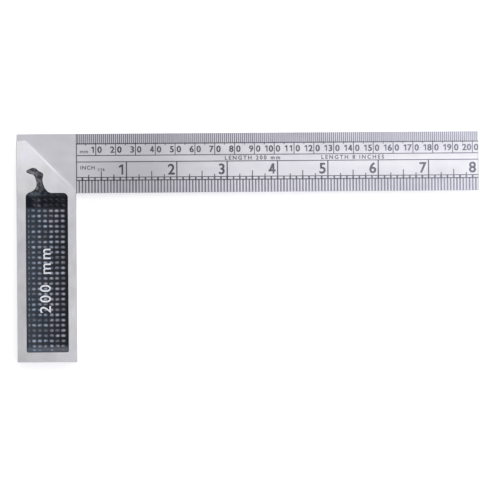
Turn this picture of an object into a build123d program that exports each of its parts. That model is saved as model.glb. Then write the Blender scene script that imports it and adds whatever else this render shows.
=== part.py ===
from build123d import *
import os

# Try square. A steel blade lies in a slot sawn across the top of an aluminium stock, held there by
# three rivets ground flush, and a black grip inlay fills a shallow pocket on each face of the stock.
#
# The square lies flat: the blade runs along +X, the stock hangs down along -Y and +Z is up.
# The origin is the inner corner, half way through the blade's thickness: the stock's working face
# is the plane x = 0 and the blade's inner edge is the line y = 0. All lengths are in millimetres.

# Driving dimensions
BLADE_REACH = 203.2
BLADE_WIDTH = 30.0
BLADE_THICKNESS = 1.0
BLADE_TIP_RADIUS = 0.3

STOCK_WIDTH = 30.0
STOCK_THICKNESS = 12.5
STOCK_DROP = 85.0
MITRE_START = 1.3
MITRE_TOP = 26.5
MITRE_CHAMFER = 1.0
EDGE_BREAK = 0.35

RIVET_RADIUS = 1.5
RIVET_FLARE_RADIUS = 2.0
RIVET_FLARE_DEPTH = 0.6
RIVET_CENTRES = [(-26.0, 18.5), (-26.3, 4.2), (-8.8, 5.2)]

GRIP_LEFT = -25.4
GRIP_RIGHT = -4.2
GRIP_TOP = 0.0
GRIP_BOTTOM = -80.2
GRIP_TOP_CORNER_RADIUS = 2.3
GRIP_FOOT_CORNER_RADIUS = 0.8
POCKET_DEPTH = 1.6
INLAY_THICKNESS = 1.0

# Worked out from those
stock_left = -STOCK_WIDTH
stock_foot = -STOCK_DROP
face_height = STOCK_THICKNESS / 2
mitre_top_x = MITRE_START - MITRE_TOP
inlay_base_height = face_height - POCKET_DEPTH
flare_start = face_height - RIVET_FLARE_DEPTH
MITRE_DIRECTION = Axis((0, 0, 0), (1, -1, 0))

# The grip's outline: a long panel with two square feet and one rounded shoulder. Its other shoulder
# rises through a narrow neck into a finial like a bird's head, whose blunt beak points to the left.
SHOULDER = (GRIP_LEFT, GRIP_TOP - 1.8)
BEAK_TIP = (-25.1, 11.0)
CREST = (-20.5, 12.6)
NECK_FOOT = (-11.5, GRIP_TOP)

with BuildSketch() as grip_outline:
    with BuildLine():
        Polyline(
            NECK_FOOT,
            (GRIP_RIGHT, GRIP_TOP),
            (GRIP_RIGHT, GRIP_BOTTOM),
            (GRIP_LEFT, GRIP_BOTTOM),
            SHOULDER,
        )
        Spline(
            SHOULDER,
            (-24.5, -0.2),
            (-22.2, 0.9),
            (-20.3, 2.8),
            (-19.9, 5.2),
            (-20.4, 7.3),
            (-21.3, 9.0),
            (-23.3, 9.7),
            BEAK_TIP,
            (-23.6, 12.1),
            CREST,
            (-18.5, 11.0),
            (-16.5, 9.6),
            (-16.8, 7.5),
            (-16.6, 4.9),
            (-15.5, 2.2),
            (-13.8, 0.5),
            NECK_FOOT,
        )
    make_face()
    corners = grip_outline.vertices()
    top_corner = corners.sort_by_distance((GRIP_RIGHT, GRIP_TOP, 0))[0]
    fillet(top_corner, radius=GRIP_TOP_CORNER_RADIUS)
    feet = grip_outline.vertices().group_by(Axis.Y)[0]
    fillet(feet, radius=GRIP_FOOT_CORNER_RADIUS)

# Rivet: a plain shank that flares out at both ends, ground flush with the stock's faces
with BuildPart() as rivet:
    with BuildSketch(Plane.XZ):
        with BuildLine():
            Polyline(
                (0, -face_height),
                (RIVET_FLARE_RADIUS, -face_height),
                (RIVET_RADIUS, -flare_start),
                (RIVET_RADIUS, flare_start),
                (RIVET_FLARE_RADIUS, face_height),
                (0, face_height),
                close=True,
            )
        make_face()
    revolve(axis=Axis.Z)

# Stock: a bar whose 45 degree mitre leaves a blunt top, with a wide chamfer along the mitre and the
# other edges just broken
with BuildPart() as stock:
    with BuildSketch(Plane.XY.offset(-face_height)):
        with BuildLine():
            Polyline(
                (stock_left, stock_foot),
                (0, stock_foot),
                (0, MITRE_START),
                (mitre_top_x, MITRE_TOP),
                (stock_left, MITRE_TOP),
                close=True,
            )
        make_face()
    extrude(amount=STOCK_THICKNESS)
    chamfer(stock.edges().filter_by(MITRE_DIRECTION), length=MITRE_CHAMFER)
    flat_faces = stock.faces().filter_by(Axis.Z)
    chamfer(flat_faces.edges().filter_by(MITRE_DIRECTION, reverse=True), length=EDGE_BREAK)

    # Slot for the blade, open at the top and at both sides
    with BuildSketch(Plane.XY.offset(-BLADE_THICKNESS / 2)):
        with Locations((stock_left, 0)):
            Rectangle(STOCK_WIDTH, BLADE_WIDTH, align=(Align.MIN, Align.MIN))
    extrude(amount=BLADE_THICKNESS, mode=Mode.SUBTRACT)

    # One pocket on each face for the grip inlays
    for pocket_base in (inlay_base_height, -face_height):
        with BuildSketch(Plane.XY.offset(pocket_base)):
            add(grip_outline.sketch)
        extrude(amount=POCKET_DEPTH, mode=Mode.SUBTRACT)

    # Flared holes, which the rivets fill
    with Locations(*RIVET_CENTRES):
        add(rivet.part, mode=Mode.SUBTRACT)

# Blade: a plain strip that runs on across the slot to the stock's outer side, drilled for the rivets
with BuildPart() as blade:
    with BuildSketch(Plane.XY.offset(-BLADE_THICKNESS / 2)):
        with Locations((stock_left, 0)):
            Rectangle(BLADE_REACH + STOCK_WIDTH, BLADE_WIDTH, align=(Align.MIN, Align.MIN))
    extrude(amount=BLADE_THICKNESS)
    tip_corners = blade.edges().filter_by(Axis.Z).group_by(Axis.X)[-1]
    fillet(tip_corners, radius=BLADE_TIP_RADIUS)
    with Locations(*RIVET_CENTRES):
        Hole(RIVET_RADIUS)

# Grip inlays: thinner than their pockets are deep, so the pimples moulded on them end below the
# stock's faces
with BuildPart() as front_inlay:
    with BuildSketch(Plane.XY.offset(inlay_base_height)):
        add(grip_outline.sketch)
    extrude(amount=INLAY_THICKNESS)

with BuildPart() as rear_inlay:
    with BuildSketch(Plane.XY.offset(-inlay_base_height - INLAY_THICKNESS)):
        add(grip_outline.sketch)
    extrude(amount=INLAY_THICKNESS)

# One STEP file for each piece
os.makedirs("parts", exist_ok=True)

stock.part.label = "stock"
export_step(stock.part, "parts/stock.step")

blade.part.label = "blade"
export_step(blade.part, "parts/blade.step")

front_inlay.part.label = "front_inlay"
export_step(front_inlay.part, "parts/front_inlay.step")

rear_inlay.part.label = "rear_inlay"
export_step(rear_inlay.part, "parts/rear_inlay.step")

for number, (x, y) in enumerate(RIVET_CENTRES, start=1):
    with BuildPart() as blade_rivet:
        with Locations((x, y)):
            add(rivet.part)
    blade_rivet.part.label = f"blade_rivet_{number}"
    export_step(blade_rivet.part, f"parts/blade_rivet_{number}.step")
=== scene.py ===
import math

import bmesh
import bpy
from mathutils import Euler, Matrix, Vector
from mathutils.geometry import delaunay_2d_cdt


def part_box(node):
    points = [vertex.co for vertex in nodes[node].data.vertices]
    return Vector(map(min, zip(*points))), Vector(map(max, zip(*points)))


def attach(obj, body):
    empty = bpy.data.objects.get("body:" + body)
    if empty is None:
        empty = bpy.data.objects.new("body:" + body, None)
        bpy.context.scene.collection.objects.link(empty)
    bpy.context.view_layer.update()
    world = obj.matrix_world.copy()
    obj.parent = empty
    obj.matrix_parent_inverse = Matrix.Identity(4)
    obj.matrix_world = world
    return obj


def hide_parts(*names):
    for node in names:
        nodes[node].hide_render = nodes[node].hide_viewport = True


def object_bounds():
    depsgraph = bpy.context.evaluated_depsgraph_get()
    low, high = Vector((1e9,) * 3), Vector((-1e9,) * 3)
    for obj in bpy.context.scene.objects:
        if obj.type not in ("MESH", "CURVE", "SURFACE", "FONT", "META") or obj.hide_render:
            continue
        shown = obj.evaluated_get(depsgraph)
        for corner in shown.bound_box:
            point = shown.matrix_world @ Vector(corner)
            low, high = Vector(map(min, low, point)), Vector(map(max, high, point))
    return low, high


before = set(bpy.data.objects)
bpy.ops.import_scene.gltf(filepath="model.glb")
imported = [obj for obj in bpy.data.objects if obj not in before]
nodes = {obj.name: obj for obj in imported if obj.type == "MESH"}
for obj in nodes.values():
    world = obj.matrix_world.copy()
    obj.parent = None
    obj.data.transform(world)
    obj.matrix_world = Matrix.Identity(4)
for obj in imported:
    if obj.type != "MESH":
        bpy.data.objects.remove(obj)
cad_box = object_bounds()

# A try square on a pale studio floor. The frame is in metres. The scale's marks and the grip's
# pimples are drawn in millimetres, as they are on the real thing, and scaled by MM at the end.
MM = 0.001
blade_low, blade_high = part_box("blade")
stock_low, stock_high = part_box("stock")
BLADE_WIDTH = (blade_high.y - blade_low.y) / MM
BLADE_REACH = blade_high.x / MM

# The two scales on the blade, in millimetres
INCH = 25.4
MM_LENGTH = 200
LAST_MM_TICK = 202
WHOLE_INCHES = 8

# Heights above the blade's inner edge of the lines that run along it, in millimetres
MM_LINE = BLADE_WIDTH - 5.1
NUMERAL_LINE = BLADE_WIDTH - 11.0
INCH_LINE = BLADE_WIDTH - 14.25
EIGHTH_LINE = BLADE_WIDTH - 22.05
SIXTEENTH_LINE = BLADE_WIDTH - 23.5

# Widths of the etched lines and ticks, in millimetres
START_LINE_WIDTH = 0.5
LINE_WIDTH = 0.45
TICK_LINE_WIDTH = 0.56
MM_TICK_WIDTH = 0.56
TENTH_LINE_WIDTH = 0.42
SIXTEENTH_TICK_WIDTH = 0.82
INCH_LINE_WIDTH = 0.62
PART_INCH_LINE_WIDTH = 0.5

# Lengths of the short marks, and the gaps that are left plain at the blade's edges and its tip
FIFTH_STUB_LENGTH = 0.9
HALF_INCH_RISE = 3.0
QUARTER_INCH_RISE = 1.4
EDGE_GAP = 0.15
TIP_GAP = 0.2

# Figures on the blade, in millimetres apart from the weight, which is in the font's own units
FIGURE_WEIGHT = 0.024
MM_FIGURE_HEIGHT = 3.1
MM_FIGURE_STROKE = 0.5
INCH_FIGURE_HEIGHT = 5.2
INCH_FIGURE_STROKE = 0.95

# What delaunay_2d_cdt is asked for: every triangle, or only those in the faces it is given
ALL_TRIANGLES = 0
TRIANGLES_IN_FACES = 1


# ---------------------------------------------------------------- mesh helpers

def add_object(name, mesh, materials):
    """Puts a mesh in the scene as a piece that rides on the square's one body."""
    obj = bpy.data.objects.new(name, mesh)
    bpy.context.scene.collection.objects.link(obj)
    for material in materials:
        mesh.materials.append(material)
    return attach(obj, "root")


def centred_rectangle(x, y, width, height):
    """Corners of a rectangle round its centre."""
    half_width = width / 2
    half_height = height / 2
    return [
        (x - half_width, y - half_height),
        (x + half_width, y - half_height),
        (x + half_width, y + half_height),
        (x - half_width, y + half_height),
    ]


def upright_bar(x, low, high, width):
    """A thin upright mark between two heights."""
    return centred_rectangle(x, (low + high) / 2, width, high - low)


def signed_area(polygon):
    """A flat polygon's area, negative if its corners run clockwise."""
    following = polygon[1:] + polygon[:1]
    return sum(a[0] * b[1] - b[0] * a[1] for a, b in zip(polygon, following)) / 2


def glyph_polygons(text, height, weight=0.0, spacing=1.0):
    """The faces of a line of text in the built-in font, as polygons whose numerals are height tall,
    centred on x = 0 and standing on y = 0. Tall letters get smoother curves."""
    tall = 4.0
    smallest_area = 1e-6
    curve = bpy.data.curves.new("lettering", "FONT")
    curve.body = "0"
    curve.resolution_u = 6 if height > tall else 4
    obj = bpy.data.objects.new("lettering", curve)
    bpy.context.scene.collection.objects.link(obj)

    def outline():
        bpy.context.view_layer.update()
        depsgraph = bpy.context.evaluated_depsgraph_get()
        return bpy.data.meshes.new_from_object(obj.evaluated_get(depsgraph))

    zero = outline()
    zero_height = max(v.co.y for v in zero.vertices) - min(v.co.y for v in zero.vertices)
    curve.body = text
    curve.offset = weight
    curve.space_character = spacing
    mesh = outline()
    middle = (max(v.co.x for v in mesh.vertices) + min(v.co.x for v in mesh.vertices)) / 2
    scale = height / zero_height
    polygons = []
    for face in mesh.polygons:
        corners = [mesh.vertices[i].co for i in face.vertices]
        polygon = [((c.x - middle) * scale, c.y * scale) for c in corners]
        area = signed_area(polygon)
        if abs(area) > smallest_area:
            polygons.append(polygon if area > 0 else polygon[::-1])
    bpy.data.objects.remove(obj)
    bpy.data.curves.remove(curve)
    return polygons


def figure_one(height, stroke):
    """The polygons of a 1 with a flag, centred on x = 0 and standing on y = 0."""
    flag_reach = 0.26 * height
    flag_foot = 0.68 * height
    flag_join = 0.76 * height
    flag_tip = 0.82 * height
    left = (flag_reach - stroke) / 2
    right = left + stroke
    stem = [(left, 0.0), (right, 0.0), (right, height), (left, height)]
    flag = [
        (left - flag_reach, flag_foot),
        (right, flag_join),
        (right, height),
        (left, height),
        (left - flag_reach, flag_tip),
    ]
    return [stem, flag]


def figure_four(height, stroke):
    """The polygons of a 4 with an open counter, centred on x = 0 and standing on y = 0."""
    half_width = 0.35 * height
    bar_base = 0.21 * height
    right = 0.22 * height
    slant = 1.25 * stroke
    stem = [(right - stroke, 0.0), (right, 0.0), (right, height), (right - stroke, height)]
    bar = centred_rectangle(0.0, bar_base + stroke / 2, 2 * half_width, stroke)
    arm = [
        (-half_width, bar_base),
        (slant - half_width, bar_base),
        (right, height),
        (right - slant, height),
    ]
    return [stem, bar, arm]


def figures(height, stroke):
    """The polygons of each figure. The built-in font's 1 has no flag, and its 4 fills up in bold,
    so those two are drawn here."""
    drawn = {}
    for digit in "02356789":
        drawn[digit] = glyph_polygons(digit, height, weight=FIGURE_WEIGHT)
    drawn["1"] = figure_one(height, stroke)
    drawn["4"] = figure_four(height, stroke)
    return drawn


def moved(polygons, x, y):
    """Polygons shifted by (x, y)."""
    return [[(px + x, py + y) for px, py in polygon] for polygon in polygons]


def joined_triangles(polygons):
    """The points and triangles of the area that overlapping convex polygons cover together. A
    triangle is tried only against the polygons that reach into its own millimetre along x."""
    merge_distance = 0.002
    points = []
    edges = []
    cells = {}
    for polygon in polygons:
        start = len(points)
        points += [Vector(p) for p in polygon]
        indices = list(range(start, len(points)))
        edges += list(zip(indices, indices[1:] + indices[:1]))
        xs = [x for x, y in polygon]
        for cell in range(math.floor(min(xs)), math.floor(max(xs)) + 1):
            cells.setdefault(cell, []).append(polygon)
    flat = delaunay_2d_cdt(points, edges, [], ALL_TRIANGLES, merge_distance)
    flat_points = flat[0]
    triangles = flat[2]
    covered = []
    for corners in triangles:
        middle = sum((flat_points[i] for i in corners), Vector((0.0, 0.0))) / 3
        near = cells.get(math.floor(middle.x), [])
        if any(inside(middle, polygon) for polygon in near):
            covered.append(corners)
    return flat_points, covered


def inside(point, polygon):
    """Whether a point is in a convex polygon whose corners run anticlockwise."""
    following = polygon[1:] + polygon[:1]
    return all(
        (b[0] - a[0]) * (point.y - a[1]) >= (b[1] - a[1]) * (point.x - a[0])
        for a, b in zip(polygon, following)
    )


def slab_from_polygons(name, polygons, place, top, bottom):
    """One closed slab with the joined outline of overlapping flat polygons.
    place turns a drawn point and a height into a point of the frame."""
    outline_points, triangles = joined_triangles(polygons)
    mesh = bmesh.new()
    upper = [mesh.verts.new(place(p.x, p.y, top)) for p in outline_points]
    lower = [mesh.verts.new(place(p.x, p.y, bottom)) for p in outline_points]
    directed = set()
    for a, b, c in triangles:
        mesh.faces.new((upper[a], upper[b], upper[c]))
        mesh.faces.new((lower[c], lower[b], lower[a]))
        directed.update([(a, b), (b, c), (c, a)])
    for a, b in directed:
        if (b, a) not in directed:
            mesh.faces.new((upper[b], upper[a], lower[a], lower[b]))
    loose = [v for v in mesh.verts if not v.link_faces]
    bmesh.ops.delete(mesh, geom=loose, context="VERTS")
    bmesh.ops.recalc_face_normals(mesh, faces=mesh.faces)
    data = bpy.data.meshes.new(name)
    mesh.to_mesh(data)
    mesh.free()
    return data


# ------------------------------------------------------------------- materials

class Shader:
    """A node material with one Principled shader, and short calls for the nodes that feed it."""

    def __init__(self, name, **sockets):
        self.material = bpy.data.materials.new(name)
        self.material.use_nodes = True
        self.tree = self.material.node_tree
        self.principled = self.tree.nodes["Principled BSDF"]
        for socket, value in sockets.items():
            self.principled.inputs[socket.replace("_", " ")].default_value = value
        self.position = self.tree.nodes.new("ShaderNodeTexCoord").outputs["Object"]
        self.normal = self.tree.nodes.new("ShaderNodeNewGeometry").outputs["Normal"]

    def link(self, output, node_input):
        """Feeds one node's output to another's input."""
        self.tree.links.new(output, node_input)

    def feed(self, socket, output):
        """Feeds a node's output to one of the Principled shader's own sockets."""
        self.link(output, self.principled.inputs[socket])

    def noise(self, size, detail=2.0, roughness=0.5):
        """Noise between 0 and 1 whose grains are about size long, as (x, y, z) in millimetres."""
        mapping = self.tree.nodes.new("ShaderNodeMapping")
        mapping.inputs["Scale"].default_value = [1 / (s * MM) for s in size]
        self.link(self.position, mapping.inputs["Vector"])
        noise = self.tree.nodes.new("ShaderNodeTexNoise")
        noise.inputs["Scale"].default_value = 1.0
        noise.inputs["Detail"].default_value = detail
        noise.inputs["Roughness"].default_value = roughness
        self.link(mapping.outputs["Vector"], noise.inputs["Vector"])
        return noise.outputs["Fac"]

    def ranged(self, value, low, high, out_low, out_high):
        """value stretched from low..high to out_low..out_high."""
        node = self.tree.nodes.new("ShaderNodeMapRange")
        node.inputs["From Min"].default_value = low
        node.inputs["From Max"].default_value = high
        node.inputs["To Min"].default_value = out_low
        node.inputs["To Max"].default_value = out_high
        self.link(value, node.inputs["Value"])
        return node.outputs["Result"]

    def blend(self, amount, first, second):
        """A colour between two others, each a fixed colour or another node's output."""
        node = self.tree.nodes.new("ShaderNodeMix")
        node.data_type = "RGBA"
        self.link(amount, node.inputs["Factor"])
        for socket, colour in (("A", first), ("B", second)):
            target = [i for i in node.inputs if i.name == socket and i.type == "RGBA"][0]
            if isinstance(colour, tuple):
                target.default_value = (*colour, 1.0)
            else:
                self.link(colour, target)
        return [o for o in node.outputs if o.type == "RGBA"][0]

    def component(self, vector, axis):
        """One of a vector's three numbers, "X", "Y" or "Z"."""
        node = self.tree.nodes.new("ShaderNodeSeparateXYZ")
        self.link(vector, node.inputs["Vector"])
        return node.outputs[axis]

    def flatness(self):
        """How squarely the surface faces up or down, from 0 on a side to 1 on a flat face."""
        return self.math("ABSOLUTE", self.component(self.normal, "Z"))

    def math(self, operation, *values):
        """The result of a math node. Each value is a number or another node's output."""
        node = self.tree.nodes.new("ShaderNodeMath")
        node.operation = operation
        for node_input, value in zip(node.inputs, values):
            if isinstance(value, float):
                node_input.default_value = value
            else:
                self.link(value, node_input)
        return node.outputs["Value"]

    def distance(self, value, place):
        """How far value is from place, on either side of it."""
        return self.math("ABSOLUTE", self.math("SUBTRACT", value, place))

    def bump(self, height, depth):
        """Relief of depth millimetres."""
        node = self.tree.nodes.new("ShaderNodeBump")
        node.inputs["Distance"].default_value = depth * MM
        self.link(height, node.inputs["Height"])
        self.feed("Normal", node.outputs["Normal"])


def steel(name):
    """Satin steel strip: fine streaks over faint cloudy patches. Painted shade darkens its sides
    and cut end, and a broad patch near the stock, most along its inner half. A painted highlight
    makes the inner half brightest at mid length."""
    shade_middle = 30.0 * MM
    sheen_middle = 113.0 * MM
    inner_half_top = 14.5 * MM
    outer_half_base = 17.5 * MM
    shader = Shader(name, Metallic=1.0, Anisotropic=0.3)
    streaks = shader.noise((14.0, 0.12, 0.12), detail=3.0)
    patches = shader.ranged(shader.noise((16.0, 9.0, 9.0)), 0.3, 0.7, 0.0, 1.0)
    tone = shader.math("MULTIPLY_ADD", streaks, 0.6, patches)
    lightness = shader.ranged(tone, 0.2, 1.4, 0.0, 1.0)
    unshaded_colour = shader.blend(lightness, (0.60, 0.59, 0.635), (0.70, 0.69, 0.73))

    reach = shader.component(shader.position, "X")
    height = shader.component(shader.position, "Y")
    # Painted shade: a broad darker patch near the stock, most along the inner half.
    inner_half = shader.ranged(height, inner_half_top, outer_half_base, 1.0, 0.0)
    from_shade_middle = shader.distance(reach, shade_middle)
    painted_stock_shade = shader.ranged(from_shade_middle, 6.0 * MM, 28.0 * MM, 0.55, 0.0)
    painted_wide_shade = shader.ranged(from_shade_middle, 3.0 * MM, 52.0 * MM, 0.62, 0.0)
    painted_inner_shade = shader.math("MULTIPLY", painted_wide_shade, inner_half)
    painted_light_and_wear = shader.blend(shader.math("ADD", painted_stock_shade, painted_inner_shade), unshaded_colour, (0.50, 0.49, 0.53))
    # Painted highlight: the inner half is brightest at mid length.
    from_sheen_middle = shader.distance(reach, sheen_middle)
    painted_sheen = shader.ranged(from_sheen_middle, 15.0 * MM, 55.0 * MM, 0.6, 0.0)
    painted_highlight = shader.math("MULTIPLY", painted_sheen, inner_half)
    strip = shader.blend(painted_highlight, painted_light_and_wear, (0.745, 0.735, 0.785))

    # Painted shade: the blade's sides, and its cut end, are darker.
    cut_end = shader.ranged(reach, blade_high.x - 0.6 * MM, blade_high.x - 0.2 * MM, 0.0, 1.0)
    sides = shader.ranged(shader.flatness(), 0.3, 0.8, 1.0, 0.0)
    painted_edge_shade = shader.math("MAXIMUM", cut_end, sides)
    shader.feed("Base Color", shader.blend(painted_edge_shade, strip, (0.47, 0.47, 0.49)))
    shader.feed("Roughness", shader.ranged(streaks, 0.3, 0.7, 0.36, 0.46))
    shader.bump(streaks, 0.012)
    return shader.material


def aluminium(name):
    """Ground light metal: short strokes up the stock, grainy skin, and warm and cool patches. A
    painted sheen makes its flat faces brighter towards the mitre and the lower right, and painted
    shade makes its sides and chamfers darker. A painted highlight brightens the mitre's chamfer
    half way up."""
    chamfer_flatness = 0.7
    dull_until = -22.0 * MM
    bright_from = -6.0 * MM
    half_way = -14.0 * MM
    highlight_reach = 2.0 * MM
    plain_beyond = 12.0 * MM
    shader = Shader(name, Metallic=1.0)
    strokes = shader.noise((0.22, 7.0, 0.22), detail=3.0)
    grain = shader.noise((0.35, 0.35, 0.35), detail=4.0, roughness=0.6)
    patches = shader.ranged(shader.noise((7.0, 9.0, 9.0)), 0.3, 0.7, 0.0, 0.35)
    tint = shader.ranged(shader.noise((11.0, 14.0, 11.0), detail=1.0), 0.4, 0.6, 0.0, 1.0)

    across = shader.component(shader.position, "X")
    along = shader.component(shader.position, "Y")
    # Painted sheen: the flat faces are brighter towards the mitre and the lower right.
    upwards = shader.ranged(along, stock_low.y, stock_high.y, 0.0, 1.0)
    lower = shader.ranged(upwards, 0.25, 0.55, 1.0, 0.0)
    right = shader.ranged(across, dull_until, bright_from, 0.0, 0.26)
    painted_sheen = shader.math("MULTIPLY_ADD", lower, right, shader.math("POWER", upwards, 5.0))
    tone = shader.math("ADD", painted_sheen, patches)
    cool = shader.blend(tone, (0.52, 0.515, 0.55), (0.80, 0.79, 0.84))
    warm = shader.blend(tone, (0.51, 0.50, 0.51), (0.78, 0.775, 0.785))
    sheened_face = shader.blend(tint, cool, warm)
    # Painted shade: the sides are darker than the flat faces.
    shaded_sides = shader.blend(patches, (0.46, 0.455, 0.475), (0.66, 0.655, 0.68))
    face = shader.blend(shader.ranged(shader.flatness(), 0.3, 0.9, 0.0, 1.0), shaded_sides, sheened_face)

    # Painted shade on the chamfers, and a painted highlight on the mitre's chamfer, brightest half
    # way up.
    from_chamfer = shader.distance(shader.flatness(), chamfer_flatness)
    chamfers = shader.ranged(from_chamfer, 0.1, 0.25, 1.0, 0.0)
    normal_x = shader.component(shader.normal, "X")
    normal_y = shader.component(shader.normal, "Y")
    diagonal = shader.math("MULTIPLY", normal_x, normal_y)
    towards_corner = shader.ranged(diagonal, 0.1, 0.2, 0.0, 1.0)
    mitre_chamfer = shader.math("MULTIPLY", chamfers, towards_corner)
    shaded_chamfers = shader.blend(chamfers, face, (0.50, 0.50, 0.53))
    from_half_way = shader.distance(across, half_way)
    painted_light_and_wear = shader.ranged(from_half_way, highlight_reach, plain_beyond, 1.0, 0.0)
    painted_highlight = shader.blend(painted_light_and_wear, (0.66, 0.66, 0.70), (0.78, 0.78, 0.82))
    shader.feed("Base Color", shader.blend(mitre_chamfer, shaded_chamfers, painted_highlight))

    surface = shader.math("MULTIPLY_ADD", grain, 0.7, strokes)
    shader.feed("Roughness", shader.ranged(surface, 0.5, 1.2, 0.42, 0.56))
    shader.bump(surface, 0.02)
    return shader.material


def scale_ink(name):
    """Dark filling of the etched lines, uneven from line to line. It is paler and bluer towards the
    blade's tip, and paler in the bands of ticks along its edges. The rear scale is turned over, so
    there heights are measured from the blade's outer edge."""
    paling_start = 20.0 * MM
    shader = Shader(name, Roughness=0.55, Specular_IOR_Level=0.3)
    reach = shader.component(shader.position, "X")
    front_height = shader.component(shader.position, "Y")
    above_middle = shader.component(shader.position, "Z")
    rear_height = shader.math("SUBTRACT", BLADE_WIDTH * MM, front_height)
    on_front = shader.ranged(above_middle, -0.1 * MM, 0.1 * MM, 0.0, 1.0)
    from_rear = shader.math("SUBTRACT", front_height, rear_height)
    height = shader.math("MULTIPLY_ADD", on_front, from_rear, rear_height)
    past_mm_line = shader.math("SUBTRACT", height, MM_LINE * MM)
    past_inch_line = shader.math("SUBTRACT", SIXTEENTH_LINE * MM, height)
    into_ticks = shader.math("MAXIMUM", past_mm_line, past_inch_line)
    edges = shader.ranged(into_ticks, 0.15 * MM, 0.6 * MM, 0.0, 0.38)
    to_tip = shader.ranged(reach, paling_start, blade_high.x, 0.0, 1.0)
    tip = shader.math("MULTIPLY", to_tip, 0.42)
    wear = shader.ranged(shader.noise((1.4, 14.0, 14.0), detail=1.0), 0.35, 0.65, 0.0, 0.22)
    amount = shader.math("ADD", shader.math("ADD", edges, tip), wear)
    paler_colour = shader.blend(to_tip, (0.275, 0.26, 0.31), (0.31, 0.315, 0.41))
    shader.feed("Base Color", shader.blend(amount, (0.030, 0.028, 0.034), paler_colour))
    return shader.material


def grip_plastic(name):
    """Blue-black moulding, paler on the pimples from wear and a painted highlight, with a painted
    sheen hazily between them towards the left edge, a paler haze along the foot, and a painted
    sheen in patches on the finial. The paler colour is bluest at the left edge, and painted shade
    keeps the first rows dark."""
    grip_low, grip_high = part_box("front_inlay")
    left_edge = grip_low.x
    foot = grip_low.y
    surface = grip_high.z
    sheen_end = -6.0 * MM
    foot_haze_start = foot + 2.0 * MM
    foot_haze_end = foot + 3.8 * MM
    bluest_until = -22.0 * MM
    greyest_from = -8.0 * MM
    lit_rows_top = -7.9 * MM
    low_rows_base = -6.9 * MM
    finial_foot = -2.5 * MM
    finial_bright = 3.5 * MM
    neck_left = -19.5 * MM
    neck_right = -17.0 * MM
    shader = Shader(name, Specular_IOR_Level=0.12)
    across = shader.component(shader.position, "X")
    along = shader.component(shader.position, "Y")
    height = shader.math("ABSOLUTE", shader.component(shader.position, "Z"))
    scuffs = shader.noise((4.5, 2.8, 2.8), detail=1.0)
    mottles = shader.noise((1.8, 1.8, 1.8))
    broad = shader.noise((8.0, 8.0, 8.0))

    # The pimples are paler on their sides and tops, from wear and a painted highlight.
    sides = shader.ranged(height, surface + 0.02 * MM, surface + 0.14 * MM, 0.0, 0.33)
    tops = shader.ranged(height, surface + 0.2 * MM, surface + 0.46 * MM, 0.0, 0.91)
    pimples = shader.math("ADD", sides, tops)
    painted_light_and_wear = shader.math("MULTIPLY", pimples, shader.ranged(scuffs, 0.36, 0.64, 0.3, 1.0))
    scratches = shader.noise((0.8, 1.1, 1.1), detail=3.0, roughness=0.6)
    lit_and_worn_pimples = shader.math("MULTIPLY", painted_light_and_wear, shader.ranged(scratches, 0.4, 0.6, 0.62, 1.12))

    # Painted sheen towards the left edge, and a paler haze along the foot.
    left_sheen = shader.ranged(across, left_edge, sheen_end, 0.145, 0.02)
    patchy_left_sheen = shader.math("MULTIPLY", left_sheen, shader.ranged(broad, 0.35, 0.6, 0.75, 1.0))
    foot_haze = shader.ranged(along, foot_haze_start, foot_haze_end, 0.30, 0.0)
    sheen_and_haze = shader.math("MAXIMUM", patchy_left_sheen, foot_haze)
    # Painted shade: the first rows stay dark.
    lower_rows = shader.ranged(along, lit_rows_top, low_rows_base, 1.0, 0.04)
    painted_row_shade = shader.math("MAXIMUM", lower_rows, shader.ranged(scuffs, 0.52, 0.62, 0.0, 0.35))
    panel = shader.math("MULTIPLY", shader.math("MAXIMUM", lit_and_worn_pimples, sheen_and_haze), painted_row_shade)

    # Painted sheen in patches on the finial.
    left_side = shader.ranged(across, neck_left, neck_right, 1.0, 0.35)
    up_finial = shader.ranged(along, finial_foot, finial_bright, 0.0, 0.62)
    finial = shader.math("MULTIPLY", up_finial, left_side)
    finial_sheen = shader.math("MULTIPLY", finial, shader.ranged(mottles, 0.42, 0.58, 0.2, 1.0))

    amount = shader.math("MAXIMUM", panel, finial_sheen)
    # Colour of the paler areas, painted highlight and sheen with wear: bluest at the left edge.
    patches = shader.ranged(broad, 0.4, 0.6, 0.0, 0.4)
    to_right = shader.ranged(across, bluest_until, greyest_from, 0.0, 0.6)
    tint = shader.math("ADD", patches, to_right)
    panel_highlight_colour = shader.blend(tint, (0.265, 0.33, 0.43), (0.325, 0.33, 0.38))
    on_finial = shader.ranged(along, 0.0, 1.0 * MM, 0.0, 1.0)
    paler_colour = shader.blend(on_finial, panel_highlight_colour, (0.31, 0.31, 0.34))
    shader.feed("Base Color", shader.blend(amount, (0.004, 0.005, 0.009), paler_colour))
    shader.feed("Roughness", shader.ranged(amount, 0.0, 1.0, 0.3, 0.5))
    shader.bump(mottles, 0.02)
    return shader.material


def white_enamel(name):
    """White filling of the size mark, a little dirty."""
    shader = Shader(name, Roughness=0.4)
    specks = shader.noise((1.5, 1.5, 1.5), detail=3.0)
    dirt = shader.ranged(specks, 0.35, 0.7, 0.0, 1.0)
    shader.feed("Base Color", shader.blend(dirt, (0.76, 0.77, 0.81), (0.52, 0.53, 0.58)))
    return shader.material


# ------------------------------------------------------------ scales on the blade

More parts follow.
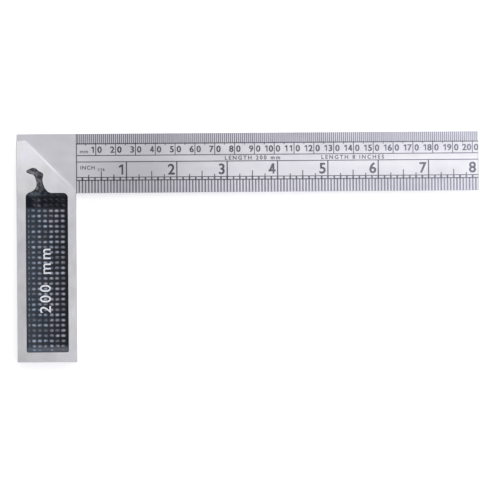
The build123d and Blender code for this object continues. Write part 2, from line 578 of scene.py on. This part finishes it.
def millimetre_marks():
    """A tick each millimetre from the outer edge, running on a little past the last number, with a
    thinner stub at each fifth and a thinner line at each tenth."""
    marks = []
    tick_top = BLADE_WIDTH - EDGE_GAP
    stub_base = MM_LINE - FIFTH_STUB_LENGTH
    for millimetre in range(1, LAST_MM_TICK + 1):
        marks.append(upright_bar(millimetre, MM_LINE, tick_top, MM_TICK_WIDTH))
        if millimetre % 10 == 0:
            marks.append(upright_bar(millimetre, NUMERAL_LINE, MM_LINE, TENTH_LINE_WIDTH))
        elif millimetre % 5 == 0:
            marks.append(upright_bar(millimetre, stub_base, MM_LINE, TENTH_LINE_WIDTH))
    return marks


def millimetre_numerals():
    """Each tenth's number, its last 0 right of its line and its other figures left of it. Each
    figure is drawn twice, a hair apart, which thickens its upright strokes."""
    right_of_line = 1.9
    left_of_line = 1.65
    pitch = 2.4
    spread = 0.06
    base = (MM_LINE + NUMERAL_LINE - MM_FIGURE_HEIGHT) / 2
    figure = figures(MM_FIGURE_HEIGHT, MM_FIGURE_STROKE)
    for digit, polygons in figure.items():
        figure[digit] = moved(polygons, -spread, 0.0) + moved(polygons, spread, 0.0)
    marks = []
    for ten in range(10, MM_LENGTH + 1, 10):
        leading = str(ten)[:-1]
        marks += moved(figure["0"], ten + right_of_line, base)
        for place, digit in enumerate(reversed(leading)):
            marks += moved(figure[digit], ten - left_of_line - place * pitch, base)
    return marks


def inch_marks():
    """A tick each sixteenth from the inner edge, longer each eighth, with a thinner mark on top of
    it at each quarter, half and inch."""
    marks = []
    half_top = EIGHTH_LINE + HALF_INCH_RISE
    quarter_top = EIGHTH_LINE + QUARTER_INCH_RISE
    for sixteenth in range(1, WHOLE_INCHES * 16):
        x = sixteenth * INCH / 16
        tick_top = EIGHTH_LINE if sixteenth % 2 == 0 else SIXTEENTH_LINE
        marks.append(upright_bar(x, EDGE_GAP, tick_top, SIXTEENTH_TICK_WIDTH))
        if sixteenth % 16 == 0:
            marks.append(upright_bar(x, EIGHTH_LINE, INCH_LINE, INCH_LINE_WIDTH))
        elif sixteenth % 8 == 0:
            marks.append(upright_bar(x, EIGHTH_LINE, half_top, PART_INCH_LINE_WIDTH))
        elif sixteenth % 4 == 0:
            marks.append(upright_bar(x, EIGHTH_LINE, quarter_top, PART_INCH_LINE_WIDTH))
    return marks


def inch_numerals():
    """Each whole inch's number left of its line. The last has no line, and stands at 200 mm."""
    left_of_line = 2.75
    base = (INCH_LINE + EIGHTH_LINE - INCH_FIGURE_HEIGHT) / 2
    figure = figures(INCH_FIGURE_HEIGHT, INCH_FIGURE_STROKE)
    marks = []
    for inch in range(1, WHOLE_INCHES):
        marks += moved(figure[str(inch)], inch * INCH - left_of_line, base)
    marks += moved(figure[str(WHOLE_INCHES)], MM_LENGTH, base)
    return marks


def ruled_lines():
    """The start line across the blade and the lines along it."""
    length = BLADE_REACH - TIP_GAP
    marks = [upright_bar(START_LINE_WIDTH / 2, 0.0, BLADE_WIDTH, START_LINE_WIDTH)]
    for height in (NUMERAL_LINE, INCH_LINE, EIGHTH_LINE):
        marks.append(centred_rectangle(length / 2, height, length, LINE_WIDTH))
    for height in (MM_LINE, SIXTEENTH_LINE):
        marks.append(centred_rectangle(length / 2, height, length, TICK_LINE_WIDTH))
    return marks


def small_labels():
    """Unit names at the start of each scale, and a caption for each scale between them."""
    label_weight = 0.02
    mm_base = NUMERAL_LINE + 1.2
    inch_base = INCH_LINE - 3.8
    sixteenth_base = EIGHTH_LINE + 3.2
    caption_height = 1.95
    caption_weight = 0.028
    caption_spacing = 1.44
    half_letter = 0.93
    caption_base = (NUMERAL_LINE + INCH_LINE) / 2 - half_letter
    marks = []
    for text, height, spacing, middle, base in (
        ("mm", 1.8, 1.2, 4.0, mm_base),
        ("INCH", 1.9, 1.2, 5.8, inch_base),
        ("1/16", 1.5, 1.0, INCH / 2, sixteenth_base),
    ):
        label = glyph_polygons(text, height, label_weight, spacing)
        marks += moved(label, middle, base)
    for text, middle in (("LENGTH 200 mm", 89.0), ("LENGTH 8 INCHES", 139.6)):
        caption = glyph_polygons(text, caption_height, caption_weight, caption_spacing)
        marks += moved(caption, middle, caption_base)
    return marks


def blade_scales(ink):
    """The same scales on both faces. The rear ones are turned over about the blade's long middle
    line, so they too read from the stock outwards."""
    polygons = (
        ruled_lines()
        + millimetre_marks()
        + millimetre_numerals()
        + inch_marks()
        + inch_numerals()
        + small_labels()
    )
    proud = 0.012 * MM
    sunk = 0.05 * MM

    def front(x, y, z):
        return (x * MM, y * MM, blade_high.z + z)

    def rear(x, y, z):
        return (x * MM, (BLADE_WIDTH - y) * MM, blade_low.z - z)

    for name, place in (("front_scale", front), ("rear_scale", rear)):
        mesh = slab_from_polygons(name, polygons, place, proud, -sunk)
        scale = add_object(name, mesh, [ink])


# ------------------------------------------------------------------ grip inlays

# Pimples, in millimetres: the pairs run across the inlay and along it, and the rows count downwards
PIP_COLUMNS = 6
PIP_ROWS = 30
PIP_PITCH = (2.95, 2.62)
FIRST_PIP = (-21.65, -1.1)
PIP_SIZE = (2.75, 1.85)
PIP_HEIGHT = 0.48
EDGE_PIP_X = -24.0
EDGE_PIP_WIDTH = 1.4
FOOT_PIP_Y = -79.1
SHORT_PIP_LENGTH = 1.1
RIM_BEVEL = 0.25

# Shares of the full height: the first row's, what each row below it adds, and the edge column's
FIRST_ROW_SHARE = 0.4
SHARE_PER_ROW = 0.2
EDGE_PIP_SHARE = 0.75
LOW_ROWS = 3


def outline_of(node, up):
    """The corners, in order, of the outline of a flat CAD node's outer face."""
    tolerance = 0.01 * MM
    mesh = nodes[node].data
    level = max(v.co.z * up for v in mesh.vertices)
    directed = set()
    for face in mesh.polygons:
        corners = [mesh.vertices[i].co for i in face.vertices]
        if all(c.z * up > level - tolerance for c in corners):
            loop = [(round(c.x / MM, 3), round(c.y / MM, 3)) for c in corners]
            directed.update(zip(loop, loop[1:] + loop[:1]))
    following = {a: b for a, b in directed if (b, a) not in directed}
    start = min(following)
    ordered = [start]
    while following[ordered[-1]] != start:
        ordered.append(following[ordered[-1]])
    return ordered


def ring(x, y, width, length):
    """Corners of one ring of a pimple: an ellipse with squarish corners."""
    corners = 16
    squareness = 0.75
    points = []
    for i in range(corners):
        angle = 2 * math.pi * i / corners
        cosine = math.cos(angle)
        sine = math.sin(angle)
        across = math.copysign(abs(cosine) ** squareness, cosine) * width / 2
        along = math.copysign(abs(sine) ** squareness, sine) * length / 2
        points.append((x + across, y + along))
    return points


class ReliefMap:
    """Points, heights and edges that a surface is later stretched over."""

    def __init__(self):
        self.points = []
        self.heights = []
        self.edges = []

    def add_loop(self, corners, height):
        """One closed line, all at the same height."""
        start = len(self.points)
        self.points += [Vector(p) for p in corners]
        self.heights += [height] * len(corners)
        indices = list(range(start, len(self.points)))
        self.edges += list(zip(indices, indices[1:] + indices[:1]))

    def add_dome(self, x, y, width, length, height):
        """One pimple, a parabola in section, inside a flat skirt."""
        skirt = 1.06
        for size in (skirt, 1.0, 0.85, 0.7, 0.52, 0.3):
            rise = height * max(0.0, 1 - size * size)
            self.add_loop(ring(x, y, width * size, length * size), rise)
        self.points.append(Vector((x, y)))
        self.heights.append(height)


def inset(outline, distance):
    """A closed outline moved inwards. Its corners run anticlockwise."""
    corners = [Vector(corner) for corner in outline]
    moved_in = []
    for i, here in enumerate(corners):
        arriving = (here - corners[i - 1]).normalized()
        leaving = (corners[(i + 1) % len(corners)] - here).normalized()
        along = arriving + leaving
        inwards = Vector((-along.y, along.x)).normalized()
        moved_in.append(tuple(here + inwards * distance))
    return moved_in


def grip_relief(outline):
    """The inlay's top: a bevelled rim, and rows of pimples that start low under the finial. The
    first and last rows are short, and a thin column fills the space at the left edge."""
    relief = ReliefMap()
    # The rim's edge, a line on its rounding, the bevel's top and the inside of a flat margin
    relief.add_loop(outline, -RIM_BEVEL)
    relief.add_loop(inset(outline, 0.3 * RIM_BEVEL), -0.3 * RIM_BEVEL)
    relief.add_loop(inset(outline, RIM_BEVEL), 0.0)
    relief.add_loop(inset(outline, 1.5 * RIM_BEVEL), 0.0)

    first_x, first_y = FIRST_PIP
    column_pitch, row_pitch = PIP_PITCH
    width, full_length = PIP_SIZE
    rows = [(first_y - i * row_pitch, full_length) for i in range(PIP_ROWS)]
    rows[0] = (first_y, SHORT_PIP_LENGTH)
    rows.append((FOOT_PIP_Y, SHORT_PIP_LENGTH))
    for number, (y, length) in enumerate(rows):
        height = PIP_HEIGHT * min(1.0, FIRST_ROW_SHARE + SHARE_PER_ROW * number)
        for column in range(PIP_COLUMNS):
            relief.add_dome(first_x + column * column_pitch, y, width, length, height)
        if number >= LOW_ROWS:
            relief.add_dome(EDGE_PIP_X, y, EDGE_PIP_WIDTH, length, EDGE_PIP_SHARE * height)
    return relief


def inlay_mesh(name, outline, up, surface, base):
    """A closed mesh: the relief stretched over the inlay's face, upright sides and a flat base."""
    merge_distance = 0.0005
    relief = grip_relief(outline)
    faces = [list(range(len(outline)))]
    flat = delaunay_2d_cdt(relief.points, relief.edges, faces, TRIANGLES_IN_FACES, merge_distance)
    flat_points = flat[0]
    triangles = flat[2]
    sources_of_points = flat[3]
    mesh = bmesh.new()
    upper = []
    for point, sources in zip(flat_points, sources_of_points):
        rise = sum(relief.heights[i] for i in sources) / max(1, len(sources))
        upper.append(mesh.verts.new((point.x * MM, point.y * MM, surface + up * rise * MM)))
    directed = set()
    for a, b, c in triangles:
        face = mesh.faces.new((upper[a], upper[b], upper[c]))
        face.smooth = True
        directed.update([(a, b), (b, c), (c, a)])
    rim = {a: b for a, b in directed if (b, a) not in directed}
    lower = {}
    for a in rim:
        lower[a] = mesh.verts.new((flat_points[a].x * MM, flat_points[a].y * MM, base))
    for a, b in rim.items():
        mesh.faces.new((upper[b], upper[a], lower[a], lower[b]))
        mesh.edges.get((upper[a], upper[b])).smooth = False
    loop = [min(rim)]
    while rim[loop[-1]] != loop[0]:
        loop.append(rim[loop[-1]])
    mesh.faces.new([lower[i] for i in reversed(loop)])
    bmesh.ops.recalc_face_normals(mesh, faces=mesh.faces)
    data = bpy.data.meshes.new(name)
    mesh.to_mesh(data)
    mesh.free()
    return data


def grip_inlay(name, node, up, plastic):
    """The moulded inlay that stands for a plain CAD one: same outline and base, with pimples.
    up is 1 on the front and -1 on the back."""
    low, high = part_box(node)
    surface, base = (high.z, low.z) if up > 0 else (low.z, high.z)
    outline = outline_of(node, up)
    if signed_area(outline) < 0:
        outline = outline[::-1]
    inlay = add_object(name, inlay_mesh(name, outline, up, surface, base), [plastic])
    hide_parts(node)


def size_mark(enamel):
    """A generic size mark in raised white figures, reading up the front inlay."""
    figure_height = 5.5
    polygons = glyph_polygons("200 mm", figure_height, weight=0.005, spacing=1.35)
    base_x = -13.1
    middle_y = -44.2
    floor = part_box("front_inlay")[1].z
    rise = 0.5 * MM
    sunk = 0.3 * MM

    def place(x, y, z):
        return ((base_x - y) * MM, (middle_y + x) * MM, floor + z)

    mesh = slab_from_polygons("size_mark", polygons, place, rise, -sunk)
    mark = add_object("size_mark", mesh, [enamel])


# ------------------------------------------------------------- studio and camera

def area_light(name, location, target, size, power):
    """A soft square light, size metres wide, that the camera doesn't see."""
    data = bpy.data.lights.new(name, "AREA")
    data.size = size
    data.energy = power
    light = bpy.data.objects.new(name, data)
    light.location = location
    direction = Vector(target) - Vector(location)
    light.rotation_euler = direction.to_track_quat("-Z", "Y").to_euler()
    light.visible_camera = False
    bpy.context.scene.collection.objects.link(light)


def surroundings():
    """Even white walls under a dimmer ceiling. The two heights are those of the direction looked
    in, from 0 at the horizon to 1 overhead."""
    wall_top = 0.35
    ceiling_edge = 0.95
    wall_strength = 0.95
    ceiling_strength = 0.3
    world = bpy.data.worlds.new("studio")
    world.use_nodes = True
    tree = world.node_tree
    direction = tree.nodes.new("ShaderNodeTexCoord").outputs["Generated"]
    split = tree.nodes.new("ShaderNodeSeparateXYZ")
    tree.links.new(direction, split.inputs["Vector"])
    ramp = tree.nodes.new("ShaderNodeMapRange")
    ramp.interpolation_type = "SMOOTHSTEP"
    ramp.inputs["From Min"].default_value = wall_top
    ramp.inputs["From Max"].default_value = ceiling_edge
    ramp.inputs["To Min"].default_value = wall_strength
    ramp.inputs["To Max"].default_value = ceiling_strength
    tree.links.new(split.outputs["Z"], ramp.inputs["Value"])
    background = tree.nodes["Background"]
    background.inputs["Color"].default_value = (0.97, 0.975, 1.0, 1.0)
    tree.links.new(ramp.outputs["Result"], background.inputs["Strength"])
    bpy.context.scene.world = world


def studio():
    """Two soft lights, and a white table that glows a little, so that shadows stay faint."""
    surroundings()
    middle = (cad_box[0] + cad_box[1]) / 2
    key_place = (middle.x - 0.1, middle.y + 0.9, 0.95)
    area_light("key", key_place, middle, size=0.5, power=6.3)
    side_x = 0.8
    area_light("side", (side_x, middle.y, 1.2), (side_x, middle.y, 0.0), size=1.2, power=8.5)

    floor_mesh = bpy.data.meshes.new("floor")
    floor_width = 12.0
    level = cad_box[0].z
    corners = [(x, y, level) for x, y in centred_rectangle(0.0, 0.0, floor_width, floor_width)]
    floor_mesh.from_pydata(corners, [], [(0, 1, 2, 3)])
    floor = bpy.data.objects.new("floor", floor_mesh)
    bpy.context.scene.collection.objects.link(floor)
    table = Shader("white_table", Roughness=0.9, Emission_Strength=0.35)
    table.principled.inputs["Base Color"].default_value = (0.93, 0.93, 0.93, 1.0)
    table.principled.inputs["Emission Color"].default_value = (1.0, 1.0, 1.0, 1.0)
    floor_mesh.materials.append(table.material)


def camera():
    """High above the square with a long lens, leaning as little as the photograph does."""
    distance = 3.0
    lean_degrees = (2.0, -1.0, -0.47)
    aim = Vector((87.37 * MM, -29.24 * MM, 0.0))
    data = bpy.data.cameras.new("camera")
    data.lens = 428.4
    data.clip_end = 20.0
    obj = bpy.data.objects.new("camera", data)
    lean = Euler([math.radians(angle) for angle in lean_degrees])
    away = lean.to_matrix() @ Vector((0.0, 0.0, distance))
    obj.location = aim + away
    obj.rotation_euler = lean
    bpy.context.scene.collection.objects.link(obj)
    bpy.context.scene.camera = obj


# ------------------------------------------------------------------------ build

ALUMINIUM = aluminium("ground_aluminium")
STEEL = steel("satin_steel")
INK = scale_ink("scale_ink")
PLASTIC = grip_plastic("grip_plastic")
ENAMEL = white_enamel("white_enamel")

for node in ("stock", "blade_rivet_1", "blade_rivet_2", "blade_rivet_3"):
    nodes[node].material_slots[0].material = ALUMINIUM
nodes["blade"].material_slots[0].material = STEEL

blade_scales(INK)
grip_inlay("front_grip", "front_inlay", 1, PLASTIC)
grip_inlay("rear_grip", "rear_inlay", -1, PLASTIC)
size_mark(ENAMEL)
studio()
camera()
bpy.context.scene.view_settings.view_transform = "Standard"
